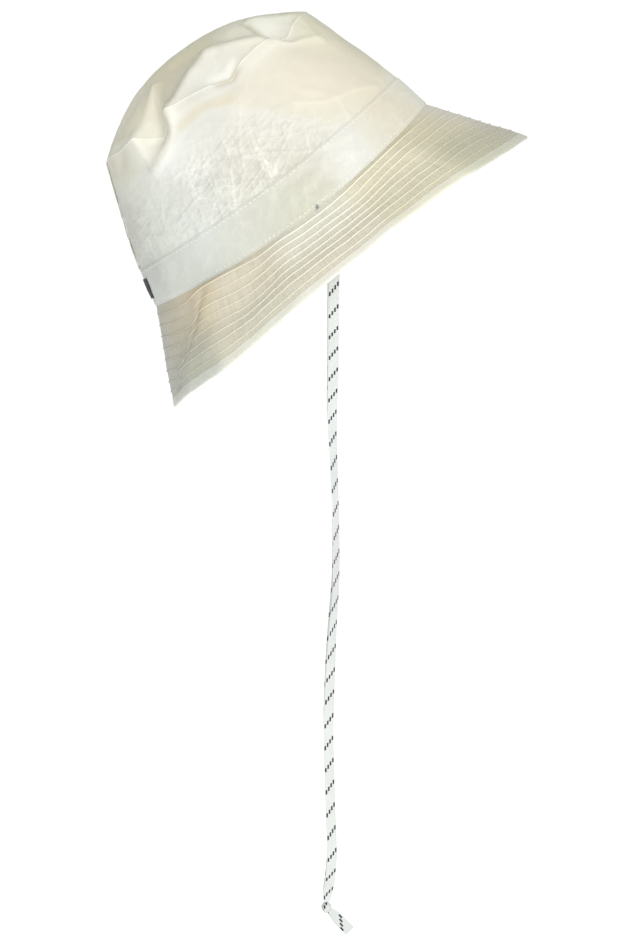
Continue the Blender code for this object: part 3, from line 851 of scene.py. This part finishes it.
def makeCrown():
    cloth, gap = hatForm["cloth"], hatForm["gap"]
    outline = sheetOutline(wallShare(wallSpec["ease"]), wallTop, wallSpec["spans"], 0.0, cloth)
    shape = layOn(wallMap, outline, wallToneAndShade, wallCrease, wallSpec["columns"])
    wall = addPiece("crownWall", shape, wallCloth, "hat", "crown_wall")

    def seamGap(degrees):
        return wallSpec["topGap"] / 1000 / tipLength(np.radians(degrees))

    outline = sheetOutline(seamGap, ones, tipSpec["spans"], 0.0, cloth)
    shape = layOn(tipMap, outline, tipToneAndShade, evenCrease(0.25), tipSpec["columns"])
    tip = addPiece("crownTip", shape, wallCloth, "hat", "crown_tip")

    # The tip seam stands up as a narrow corded ridge.
    turns = np.arange(cordSpec["corners"]) * 2 * math.pi / cordSpec["corners"]

    def placeCord(degrees, corner):
        middle = readMap(wallMap, degrees, ones(degrees), np.full(len(degrees), cloth / 2))
        wide = np.cos(turns)[corner][:, None] * cordSpec["radius"] / 1000
        tall = np.sin(turns)[corner][:, None] * cordSpec["radius"] / 1000 * cordSpec["tall"]
        points = middle + outwardAt(np.radians(degrees)) * wide + np.array([0, 0, 1]) * tall
        return points, {"tint": tinted(wallToneAndShade, (1.03, 1.04, 1.06))(degrees, ones(degrees)),
                        "crease": ones(degrees) * 0.1}

    shape = sweepRound(cordSpec["columns"], cordSpec["corners"], placeCord)
    cord = addPiece("tipSeamCord", shape, hemCloth, "hat", "tip_seam_cord")

    inset = wallShare(backSeamSpec["inset"])
    outline = sheetOutline(lambda degrees: bandTop(degrees) + inset(degrees),
                           lambda degrees: wallTop(degrees) - inset(degrees),
                           backSeamSpec["spans"], cloth + gap, backSeamSpec["thick"])
    half = degreesAcross(backSeamSpec["halfWidth"])
    shape = layOn(wallMap, outline, tinted(wallToneAndShade, (1.05, 1.05, 1.05)), evenCrease(0.2), backSeamSpec["columns"],
                  180 - half, 180 + half)
    seam = addPiece("crownBackSeam", shape, hemCloth, "hat", "crown_back_seam")
    print("crown made")


bandSpec = {
    "columns": 360, "spans": 26, "low": 0.2, "ends": 25.0, "sides": 29.0,
    "lift": 0.0001, "thick": 0.00045, "edge": 0.15,
    "flat": (0.584, 0.030), "area": 0.0150,
    "innerColumns": 240, "innerSpans": 10, "innerLow": 0.6, "innerHigh": 26.6,
    "innerFlat": (0.584, 0.028), "innerArea": 0.0146,
}
# size is a stitch's length, width and height in metres, pitch the way from one to the next.
stitchSpec = {"pitch": 0.0031, "size": (0.0023, 0.00045, 0.0003), "inset": 2.2, "lift": 0.00008,
              "search": 0.25, "ahead": 0.8}


def bandTop(degrees):
    raised = bandSpec["ends"] + (bandSpec["sides"] - bandSpec["ends"]) * np.sin(np.radians(degrees)) ** 2
    return raised / 1000 / wallLength(np.radians(degrees))


def stitchRound(name, where, lift, node):
    # One short oval of thread for each stitch, lying along its row.
    def spot(degrees, up=0.0):
        return readMap(wallMap, degrees, where(degrees), np.full(len(degrees), lift + up))

    degrees = [-180.0]
    travelled = 0.0
    last = spot(np.array(degrees))[0]
    for angle in np.arange(-180.0 + stitchSpec["search"], 180.0, stitchSpec["search"]):
        here = spot(np.array([angle]))[0]
        travelled += float(np.linalg.norm(here - last))
        last = here
        if travelled >= stitchSpec["pitch"]:
            degrees.append(angle)
            travelled = 0.0
    places = np.array(degrees)
    points = spot(places) @ tiltMatrix.T
    ahead = spot(places + stitchSpec["ahead"]) @ tiltMatrix.T
    above = spot(places, 0.001) @ tiltMatrix.T
    shape = bmesh.new()
    for point, forward, upward in zip(points, ahead - points, above - points):
        along = Vector(forward).normalized()
        up = Vector(upward).normalized()
        addThread(shape, Vector(point), along, up.cross(along), up, stitchSpec["size"])
    return addPiece(name, shape, seamThread, "hat", node)


def addThread(shape, middle, along, side, up, size):
    for vert in bmesh.ops.create_icosphere(shape, subdivisions=1, radius=0.5)["verts"]:
        x, y, z = vert.co
        vert.co = middle + along * x * size[0] + side * y * size[1] + up * z * size[2]


def makeBand(label):
    cloth, gap = hatForm["cloth"], hatForm["gap"]
    low, lift, thick = bandSpec["low"], cloth + bandSpec["lift"], bandSpec["thick"]
    outline = sheetOutline(wallShare(low), bandTop, bandSpec["spans"], lift, thick, bandSpec["edge"])
    shape = layOn(wallMap, outline, wallToneAndShade, evenCrease(0.35), bandSpec["columns"])
    band = addPiece("hatBand", shape, bandCloth, "hat", "hat_band")
    inset, top = stitchSpec["inset"], lift + thick + stitchSpec["lift"]
    upper = stitchRound("bandTopStitch", lambda degrees: bandTop(degrees) - wallShare(inset)(degrees), top,
                        "band_top_stitch")
    lower = stitchRound("bandBottomStitch", wallShare(low + inset), top, "band_bottom_stitch")
    outline = sheetOutline(wallShare(bandSpec["innerLow"]), wallShare(bandSpec["innerHigh"]), bandSpec["innerSpans"],
                           -gap - cloth, cloth)
    shape = layOn(wallMap, outline, tinted(wallToneAndShade, (0.95, 0.94, 0.92)), evenCrease(0.2), bandSpec["innerColumns"])
    inner = addPiece("innerBand", shape, bandCloth, "hat", "sweatband")
    print("bands made")


brimSpec = {
    "columns": 420, "spans": 34, "ease": (0.1, 0.4), "rimShare": 0.45, "flat": (0.480, 0.270), "area": 0.0450,
    "rows": 8, "first": 7.0, "last": 53.5, "rib": (0.34, 0.65), "ribColumns": 480, "ribRimShare": 0.65,
}
# The binding's cross-section: mm from the crown seam, each with how far it stands proud of the ply, as a share of
# the binding's thickness.
hemSpec = {
    "columns": 480, "lift": 0.0001, "thick": 0.00045,
    "outside": ((57.5, 0.0), (57.6, 0.8), (58.2, 1.0), (60.6, 1.0), (63.1, 1.0)),
    "fold": 63.5, "nose": 63.6, "inside": (60.0, 62.8), "innerNose": 62.95,
}


def brimShare(millimetres):
    return lambda degrees: np.full(len(degrees), millimetres / 1000 / hatForm["brimWidth"])


def makeBrim():
    cloth, gap, rimShare = hatForm["cloth"], hatForm["gap"], brimSpec["rimShare"]
    start, end = brimSpec["ease"][0], hatForm["brimWidth"] * 1000 - brimSpec["ease"][1]
    for name, node, slot, lift in (("brimUpper", "brim_upper", "brim", 0.0),
                                   ("brimLower", "brim_lower", "brim_under", -gap - cloth)):
        outline = sheetOutline(brimShare(start), brimShare(end), brimSpec["spans"], lift, cloth)
        shape = layOn(brimMap, outline, brimToneAndShade, evenCrease(0.3), brimSpec["columns"], rimShare=rimShare)
        addPiece(name, shape, brimCloth, "hat", node)

    spacing = (brimSpec["last"] - brimSpec["first"]) / (brimSpec["rows"] - 1)
    half, tall = brimSpec["rib"]
    profile = [(side * half, up * tall) for side, up in
               ((-1, 0.0), (-0.8, 0.55), (-0.3, 0.95), (0.3, 0.95), (0.8, 0.55), (1, 0.0))]
    for row in range(brimSpec["rows"]):
        middle = brimSpec["first"] + row * spacing
        outline = [(brimShare(middle + across), cloth + up / 1000) for across, up in profile]
        shape = layOn(brimMap, outline, tinted(brimToneAndShade, (1.03, 1.03, 1.02)), evenCrease(0.1), brimSpec["ribColumns"],
                      rimShare=brimSpec["ribRimShare"])
        rib = addPiece(f"brimStitchRow{row + 1}", shape, ribCloth, "hat", f"brim_stitch_row_{row + 1}")

    low, high, wide = cloth + hemSpec["lift"], -gap - cloth - hemSpec["lift"], hemSpec["thick"]
    outside = hemSpec["outside"]
    (back, front), fold, nose = hemSpec["inside"], hemSpec["fold"], hemSpec["nose"]
    hem = [(along, low + wide * share) for along, share in outside]
    hem += [(fold, low * 0.4), (nose, -gap / 2), (fold, high * 0.4)]
    hem += [(along, high - wide * share) for along, share in reversed(outside)]
    hem += [(back, high), (front, high), (hemSpec["innerNose"], -gap / 2), (front, low), (back, low)]
    outline = [(brimShare(along), lift) for along, lift in hem]
    shape = layOn(brimMap, outline, tinted(brimToneAndShade, (1.16, 1.20, 1.28)), evenCrease(0.3), hemSpec["columns"],
                  rimShare=rimShare)
    binding = addPiece("brimEdgeBinding", shape, hemCloth, "hat", "brim_edge_binding")
    print("brim made")


tapeSpec = {
    "length": 0.438, "width": 0.0068, "thick": 0.0006, "step": 0.0022, "corners": 14, "round": (0.75, 0.6),
    # Each dash's width and length, how far apart and how much higher the next one is, and from group to group.
    "dash": (0.00112, 0.0027), "dashes": 4, "dashApart": 0.00162, "dashClimb": 0.0021, "dashSlant": 0.35,
    "pitch": 0.0142, "wale": 0.00085, "chevron": 0.0007,
    "pale": (0.56, 0.58, 0.56), "deep": (0.38, 0.40, 0.39), "dark": (0.006, 0.006, 0.007),
    "pinch": 0.45, "pinchLength": 0.010,
}
# The short ends below the knot: how they stand to the plumb line, and where along them their dashes are.
endSpec = {"length": 0.0175, "turn": 44.0, "inKnot": (0.0026, 0.0035), "points": 14, "apart": 0.00045,
           "curl": 0.0012, "curlReach": 0.021, "groupAt": 0.0133, "pinchLength": 0.0075}
# The ends sewn to the inner band, and the rows of thread that hold them there and show outside at the seam.
sewnSpec = {
    "half": 0.0140, "points": 12,
    "threads": 9, "apart": 0.00050, "size": (0.0006, 0.0005, 0.0030), "zigzag": 0.0002,
    "outThreads": 4, "outApart": 0.00055, "outSize": (0.0005, 0.0006, 0.0028), "outClimb": 0.0004,
    "outAngle": 83.5, "outShare": 0.004, "outLift": 0.0020, "colour": (0.22, 0.24, 0.25),
}
# Where the right leg hangs, from the swing line down to the knot. The left leg mirrors it.
tapeRoute = (
    (0.0223, -0.0768, -0.0090), (0.0241, -0.0768, -0.0114), (0.0252, -0.0767, -0.0136),
    (0.0256, -0.0765, -0.0170), (0.0255, -0.0761, -0.0240), (0.0250, -0.0749, -0.0420),
    (0.0247, -0.0729, -0.0700), (0.0246, -0.0704, -0.0980), (0.0240, -0.0676, -0.1300),
    (0.0252, -0.0638, -0.1620), (0.0264, -0.0595, -0.1950), (0.0264, -0.0545, -0.2280),
    (0.0244, -0.0492, -0.2600), (0.0228, -0.0433, -0.2920), (0.0220, -0.0368, -0.3220),
    (0.0226, -0.0299, -0.3510), (0.0234, -0.0228, -0.3780), (0.0242, -0.0165, -0.3990),
    (0.0232, -0.0105, -0.4155), (0.0216, -0.0060, -0.4260), (0.0208, -0.0038, -0.4320),
)
# Heights of the middles of the dash groups, in metres, from the top one down.
dashHeights = (
    -0.0495, -0.0629, -0.0757, -0.0878, -0.1006, -0.1134, -0.1260, -0.1394, -0.1540, -0.1680, -0.1820, -0.1967,
    -0.2114, -0.2249, -0.2403, -0.2555, -0.2703, -0.2850, -0.2985, -0.3140, -0.3280, -0.3421, -0.3561, -0.3710,
    -0.3858, -0.4006, -0.4140, -0.4258,
)


def tapeFinish():
    # Flat woven tape: a fine herringbone, and groups of short dark dashes that climb across it.
    finish = Finish("tapeWeave", Roughness=0.68, Sheen_Weight=0.15)
    across, group, along = finish.painted("across"), finish.painted("group"), finish.painted("along")
    width, tall = tapeSpec["dash"]
    pitch = tapeSpec["pitch"]
    dark = 0.0
    for number in range(tapeSpec["dashes"]):
        step = number - (tapeSpec["dashes"] - 1) / 2
        aside = across - step * tapeSpec["dashApart"]
        climb = step * tapeSpec["dashClimb"] / pitch
        upward = ((group + climb + aside * (tapeSpec["dashSlant"] / pitch) + 0.5).wrapped(1.0) - 0.5).size()
        inside = aside.size().below(width / 2) * upward.below(tall / 2 / pitch)
        dark = inside.highest(dark)
    wale = across * (math.pi * 2 / tapeSpec["wale"])
    rise = along * (math.pi * 2 / tapeSpec["chevron"])
    weave = (wale.size() + rise).sine() * 0.5 + wale.sine() * 0.25
    cloud = finish.speckle(finish.place(), 60.0, 3.0)
    shade = weave * 0.16 + (cloud - 0.5) * 0.5 + 0.5
    light = finish.blend(shade, tapeSpec["deep"], tapeSpec["pale"])
    finish.set(Base_Color=finish.blend(dark, light, tapeSpec["dark"]))
    finish.emboss(0.6, weave * 0.00006 + dark * 0.00008 + cloud * 0.0001)
    return finish.material


def evenRoute(points, spacing):
    # Points at even spacing on one smooth curve through the given ones, as the CAD tape has.
    points = [Vector(point) for point in points]
    ends = [2 * points[0] - points[1], *points, 2 * points[-1] - points[-2]]
    fine = []
    for before, first, second, after in zip(ends, ends[1:], ends[2:], ends[3:]):
        for step in range(20):
            t = step / 20
            fine.append(0.5 * (2 * first + (second - before) * t
                               + (2 * before - 5 * first + 4 * second - after) * t * t
                               + (3 * first - before - 3 * second + after) * t ** 3))
    fine = np.array([tuple(point) for point in [*fine, points[-1]]])
    travelled = np.concatenate([[0], np.cumsum(np.linalg.norm(np.diff(fine, axis=0), axis=1))])
    count = round(travelled[-1] / spacing)
    wanted = np.linspace(0, travelled[-1], count + 1)
    return np.stack([np.interp(wanted, travelled, fine[:, axis]) for axis in range(3)], 1), wanted


def unit(vectors):
    return vectors / np.linalg.norm(vectors, axis=1, keepdims=True)


def squareTo(tangents, lines):
    # The lines with what runs along the tape taken out.
    return lines - tangents * np.sum(lines * tangents, axis=1, keepdims=True)


def widthLines(node, route):
    # Which way the CAD tape's width lies at each point of the route.
    solid = np.array([vert.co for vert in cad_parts[node].data.vertices])
    tangents = unit(np.gradient(route, axis=0))
    lines = []
    last = np.array([1.0, 0.0, 0.0])
    for point, tangent in zip(route, tangents):
        near = solid[np.linalg.norm(solid - point, axis=1) < 0.011] - point
        near = near - np.outer(near @ tangent, tangent)
        line = np.linalg.svd(near, full_matrices=False)[2][0]
        last = line if line @ last > 0 else -line
        lines.append(last)
    lines = np.array(lines)
    for axis in range(3):
        padded = np.concatenate([[lines[0, axis]] * 4, lines[:, axis], [lines[-1, axis]] * 4])
        lines[:, axis] = np.convolve(padded, np.ones(9) / 9, mode="valid")
    return unit(squareTo(tangents, lines)), tangents


def roundedLoop(turn, power, reach):
    # One side of a rounded oblong at each turn, from -reach to reach.
    return np.sign(turn) * np.abs(turn) ** power * reach


def ribbon(route, lines, tangents, along, groupAt, pinch):
    # A flat tape carried along a route, with rounded edges. groupAt tells how many groups of dashes down
    # a point lies, and pinch how much narrower the tape is at each ring.
    corners = tapeSpec["corners"]
    turns = np.arange(corners) / corners * math.pi * 2
    wide = roundedLoop(np.cos(turns), tapeSpec["round"][0], tapeSpec["width"] / 2)
    deep = roundedLoop(np.sin(turns), tapeSpec["round"][1], tapeSpec["thick"] / 2)
    shape = bmesh.new()
    bmesh.ops.create_grid(shape, x_segments=len(route) - 1, y_segments=corners, size=0.5)
    layers = paintLayers(shape)
    faces = np.cross(tangents, lines)
    for vert in shape.verts:
        ring = round((vert.co.x + 0.5) * (len(route) - 1))
        corner = round((vert.co.y + 0.5) * corners) % corners
        narrow = 1 - pinch[ring]
        vert.co = route[ring] + lines[ring] * wide[corner] * narrow + faces[ring] * deep[corner] * (1 + pinch[ring])
        paint(vert, layers, wide[corner], along[ring], groupAt(vert.co))
    return closed(shape)


def paintLayers(shape):
    return [shape.verts.layers.float.new(key) for key in ("across", "along", "group")]


def paint(vert, layers, *values):
    for layer, value in zip(layers, values):
        vert[layer] = value


def groupDown(point):
    if point[2] > dashHeights[0]:
        return (dashHeights[0] - point[2]) / tapeSpec["pitch"]
    if point[2] < dashHeights[-1]:
        return len(dashHeights) - 1 + (dashHeights[-1] - point[2]) / tapeSpec["pitch"]
    return float(np.interp(-point[2], [-height for height in dashHeights], range(len(dashHeights))))


def makeTape(weave, knot):
    tack = threadFinish("tackThread", sewnSpec["colour"])
    for side, word in ((-1, "Right"), (1, "Left")):
        route, along = evenRoute([(x, -side * y, z) for x, y, z in tapeRoute], tapeSpec["step"])
        lines, tangents = widthLines(f"chin_tape_{word.lower()}", route)
        # The tape narrows where it goes into the knot.
        reach = tapeSpec["pinchLength"]
        pinch = tapeSpec["pinch"] * np.clip((along - along[-1] + reach) / reach, 0, 1) ** 2
        shape = ribbon(route, lines, tangents, along, groupDown, pinch)
        leg = addPiece(f"chinTape{word}", shape, weave, "chin_tape", f"chin_tape_{word.lower()}")
        end = makeEnd(word, side, weave)
        sewDown(word, side, weave, tack)
    print("tape made")


def makeEnd(word, side, weave):
    # The short end below the knot, with a slight curl.
    turn = math.radians(endSpec["turn"])
    away = np.array([math.sin(turn), 0.0, -math.cos(turn)])
    flat = np.array([math.cos(turn), 0.0, math.sin(turn)])
    start, spare = endSpec["inKnot"]
    distance = np.linspace(start, spare + endSpec["length"], endSpec["points"])
    curl = (distance / endSpec["curlReach"]) ** 2 * endSpec["curl"]
    route = np.array(knotSpec["place"]) + np.outer(distance, away)
    route[:, 1] += side * (endSpec["apart"] + curl)
    tangents = unit(np.gradient(route, axis=0))
    lines = squareTo(tangents, np.tile(flat, (len(route), 1)))

    def groupOut(point):
        return (float((np.array(point) - knotSpec["place"]) @ away) - endSpec["groupAt"]) / tapeSpec["pitch"]

    pinch = tapeSpec["pinch"] * np.clip(1 - (distance - distance[0]) / endSpec["pinchLength"], 0, 1) ** 1.5
    shape = ribbon(route, lines, tangents, distance, groupOut, pinch)
    return addPiece(f"chinTapeEnd{word}", shape, weave, "chin_tape", f"chin_tape_end_{word.lower()}")


def sewDown(word, side, weave, tack):
    # The sewn end, flat against the inner band, and the bartack that holds it.
    tilt = hatForm["tilt"]
    upward = np.array([-math.sin(tilt), 0.0, math.cos(tilt)])
    forward = np.array([math.cos(tilt), 0.0, math.sin(tilt)])
    middle = nodeMiddle(f"tape_sewn_end_{word.lower()}")
    count = sewnSpec["points"]
    distance = np.linspace(-sewnSpec["half"], sewnSpec["half"], count)

    def groupUp(point):
        return float((np.array(point) - middle) @ upward) / tapeSpec["pitch"]

    shape = ribbon(middle + np.outer(distance, upward), np.tile(forward, (count, 1)), np.tile(upward, (count, 1)),
                   distance, groupUp, np.zeros(count))
    addPiece(f"tapeSewnEnd{word}", shape, weave, "hat", f"tape_sewn_end_{word.lower()}")

    middle = nodeMiddle(f"tape_bartack_{word.lower()}")
    axes = (Vector(forward), Vector((0.0, 1.0, 0.0)), Vector(upward))
    shape = bmesh.new()
    for number in range(sewnSpec["threads"]):
        across = (number - (sewnSpec["threads"] - 1) / 2) * sewnSpec["apart"]
        rise = sewnSpec["zigzag"] * (1 if number % 2 else -1)
        addThread(shape, Vector(middle + forward * across + upward * rise), *axes, sewnSpec["size"])
    # Its last threads show on the outside, at the crown seam.
    outer = readMap(wallMap, np.array([side * sewnSpec["outAngle"]]), np.array([sewnSpec["outShare"]]),
                    np.array([sewnSpec["outLift"]]))[0] @ tiltMatrix.T
    for number in range(sewnSpec["outThreads"]):
        step = number - (sewnSpec["outThreads"] - 1) / 2
        place = outer + forward * step * sewnSpec["outApart"] + upward * step * sewnSpec["outClimb"]
        addThread(shape, Vector(place), *axes, sewnSpec["outSize"])
    addPiece(f"tapeBartack{word}", shape, tack, "hat", f"tape_bartack_{word.lower()}")


def nodeMiddle(node):
    low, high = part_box(node)
    return (np.array(low) + np.array(high)) / 2


# A tight overhand knot: a lump of tape with one turn of tape wrapped round it. Sizes are half widths in metres.
knotSpec = {
    "place": (0.0207, 0.0, -0.4360), "lump": (0.0029, 0.0042, 0.0028), "grooves": (0.10, 0.06), "acrossAt": 0.0030,
    "wrapWide": 0.0021, "wrapDeep": 0.00042, "wrapRound": 0.7, "wrapRadius": 0.0031, "wrapOval": 1.25,
    "wobble": 0.0003, "shift": 0.0006, "wrapTurn": -28, "wrapAlong": 0.0035, "wrapGroup": (2, 0.18),
}


def makeKnot(weave):
    shape = bmesh.new()
    bmesh.ops.create_icosphere(shape, subdivisions=4, radius=0.5)
    layers = paintLayers(shape)
    for vert in shape.verts:
        x, y, z = vert.co * 2
        first, second = knotSpec["grooves"]
        groove = 1 + first * math.cos(7.0 * x + 2.5 * z) + second * math.sin(6.0 * z - 3.0 * y)
        vert.co = Vector(knotSpec["lump"]) * Vector((x, y, z)) * groove
        paint(vert, layers, knotSpec["acrossAt"] * x, knotSpec["acrossAt"] * z, 0.5)
    wrap = bmesh.new()
    bmesh.ops.create_grid(wrap, x_segments=40, y_segments=10, size=0.5)
    layers = paintLayers(wrap)
    for vert in wrap.verts:
        turn = (vert.co.x + 0.5) * math.pi * 2
        corner = (vert.co.y + 0.5) * math.pi * 2
        wide = float(roundedLoop(math.cos(corner), knotSpec["wrapRound"], knotSpec["wrapWide"]))
        deep = float(roundedLoop(math.sin(corner), knotSpec["wrapRound"], knotSpec["wrapDeep"]))
        radius = knotSpec["wrapRadius"] + deep + knotSpec["wobble"] * math.cos(2 * turn)
        vert.co = (wide + knotSpec["shift"] * math.sin(turn), radius * knotSpec["wrapOval"] * math.cos(turn),
                   radius * math.sin(turn))
        groups, first = knotSpec["wrapGroup"]
        paint(vert, layers, wide, turn * knotSpec["wrapAlong"], turn / (math.pi * 2) * groups + first)
    closed(wrap)
    turned = Matrix.Rotation(math.radians(knotSpec["wrapTurn"]), 3, "Y")
    bmesh.ops.rotate(wrap, cent=(0, 0, 0), matrix=turned, verts=wrap.verts)
    mesh = bpy.data.meshes.new("wrap")
    wrap.to_mesh(mesh)
    wrap.free()
    shape.from_mesh(mesh)
    bpy.data.meshes.remove(mesh)
    bmesh.ops.translate(shape, vec=Vector(knotSpec["place"]), verts=shape.verts)
    knot = addPiece("chinKnot", shape, weave, "chin_tape", "chin_knot")
    print("knot made")
    return knot


# The label at the centre back: mm along the wall from the crown seam, and thread spacings in metres.
labelSpec = {
    "halfWidth": 17.0, "low": 5.6, "high": 18.6, "columns": 60, "lift": 0.0015, "thick": 0.00045,
    "warp": 0.0006, "weft": 0.0005, "border": 0.0056,
    "deep": (0.004, 0.004, 0.005), "pale": (0.018, 0.018, 0.020), "borderTint": (0.05, 0.05, 0.05),
    # Its cross-section, as shares of its height and thickness.
    "profile": ((0, 0), (0.03, 0), (0.06, 0), (0.5, 0), (0.94, 0), (0.97, 0), (1, 0),
                (1, 1), (0.97, 1.3), (0.94, 1), (0.5, 1.2), (0.06, 1), (0.03, 1.3), (0, 1)),
}


def makeLabel():
    finish = Finish("labelWeave", Roughness=0.75)
    across, along = finish.painted("across"), finish.painted("along")
    warp = (across * (math.pi * 2 / labelSpec["warp"])).sine()
    weft = (along * (math.pi * 2 / labelSpec["weft"])).sine()
    weave = warp * weft * 0.5 + 0.5
    edge = along.size().above(labelSpec["border"])
    cloth = finish.blend(weave, labelSpec["deep"], labelSpec["pale"])
    finish.set(Base_Color=finish.blend(edge * 0.5, cloth, labelSpec["borderTint"]))
    finish.emboss(0.6, weave * 0.0001)
    half = degreesAcross(labelSpec["halfWidth"])
    low, tall = labelSpec["low"], labelSpec["high"] - labelSpec["low"]
    profile = np.array(labelSpec["profile"], float)

    def place(degrees, corner):
        share, up = profile[corner].T
        where = wallShare(1.0)(degrees) * (low + tall * share)
        points = readMap(wallMap, degrees, where, labelSpec["lift"] + up * labelSpec["thick"])
        return points, {"across": np.radians(degrees - 180) * hatForm["headHalf"],
                        "along": (share - 0.5) * tall / 1000}

    shape = sweepRound(labelSpec["columns"], len(profile), place, 180 - half, 180 + half)
    label = addPiece("backLabel", shape, finish.material, "hat", "back_label")
    print("label made")
    return label


tapeWeave = tapeFinish()
makeStudio()
makeFloor()
makeTape(tapeWeave, makeKnot(tapeWeave))
makeCrown()
makeBand(makeLabel())
makeBrim()
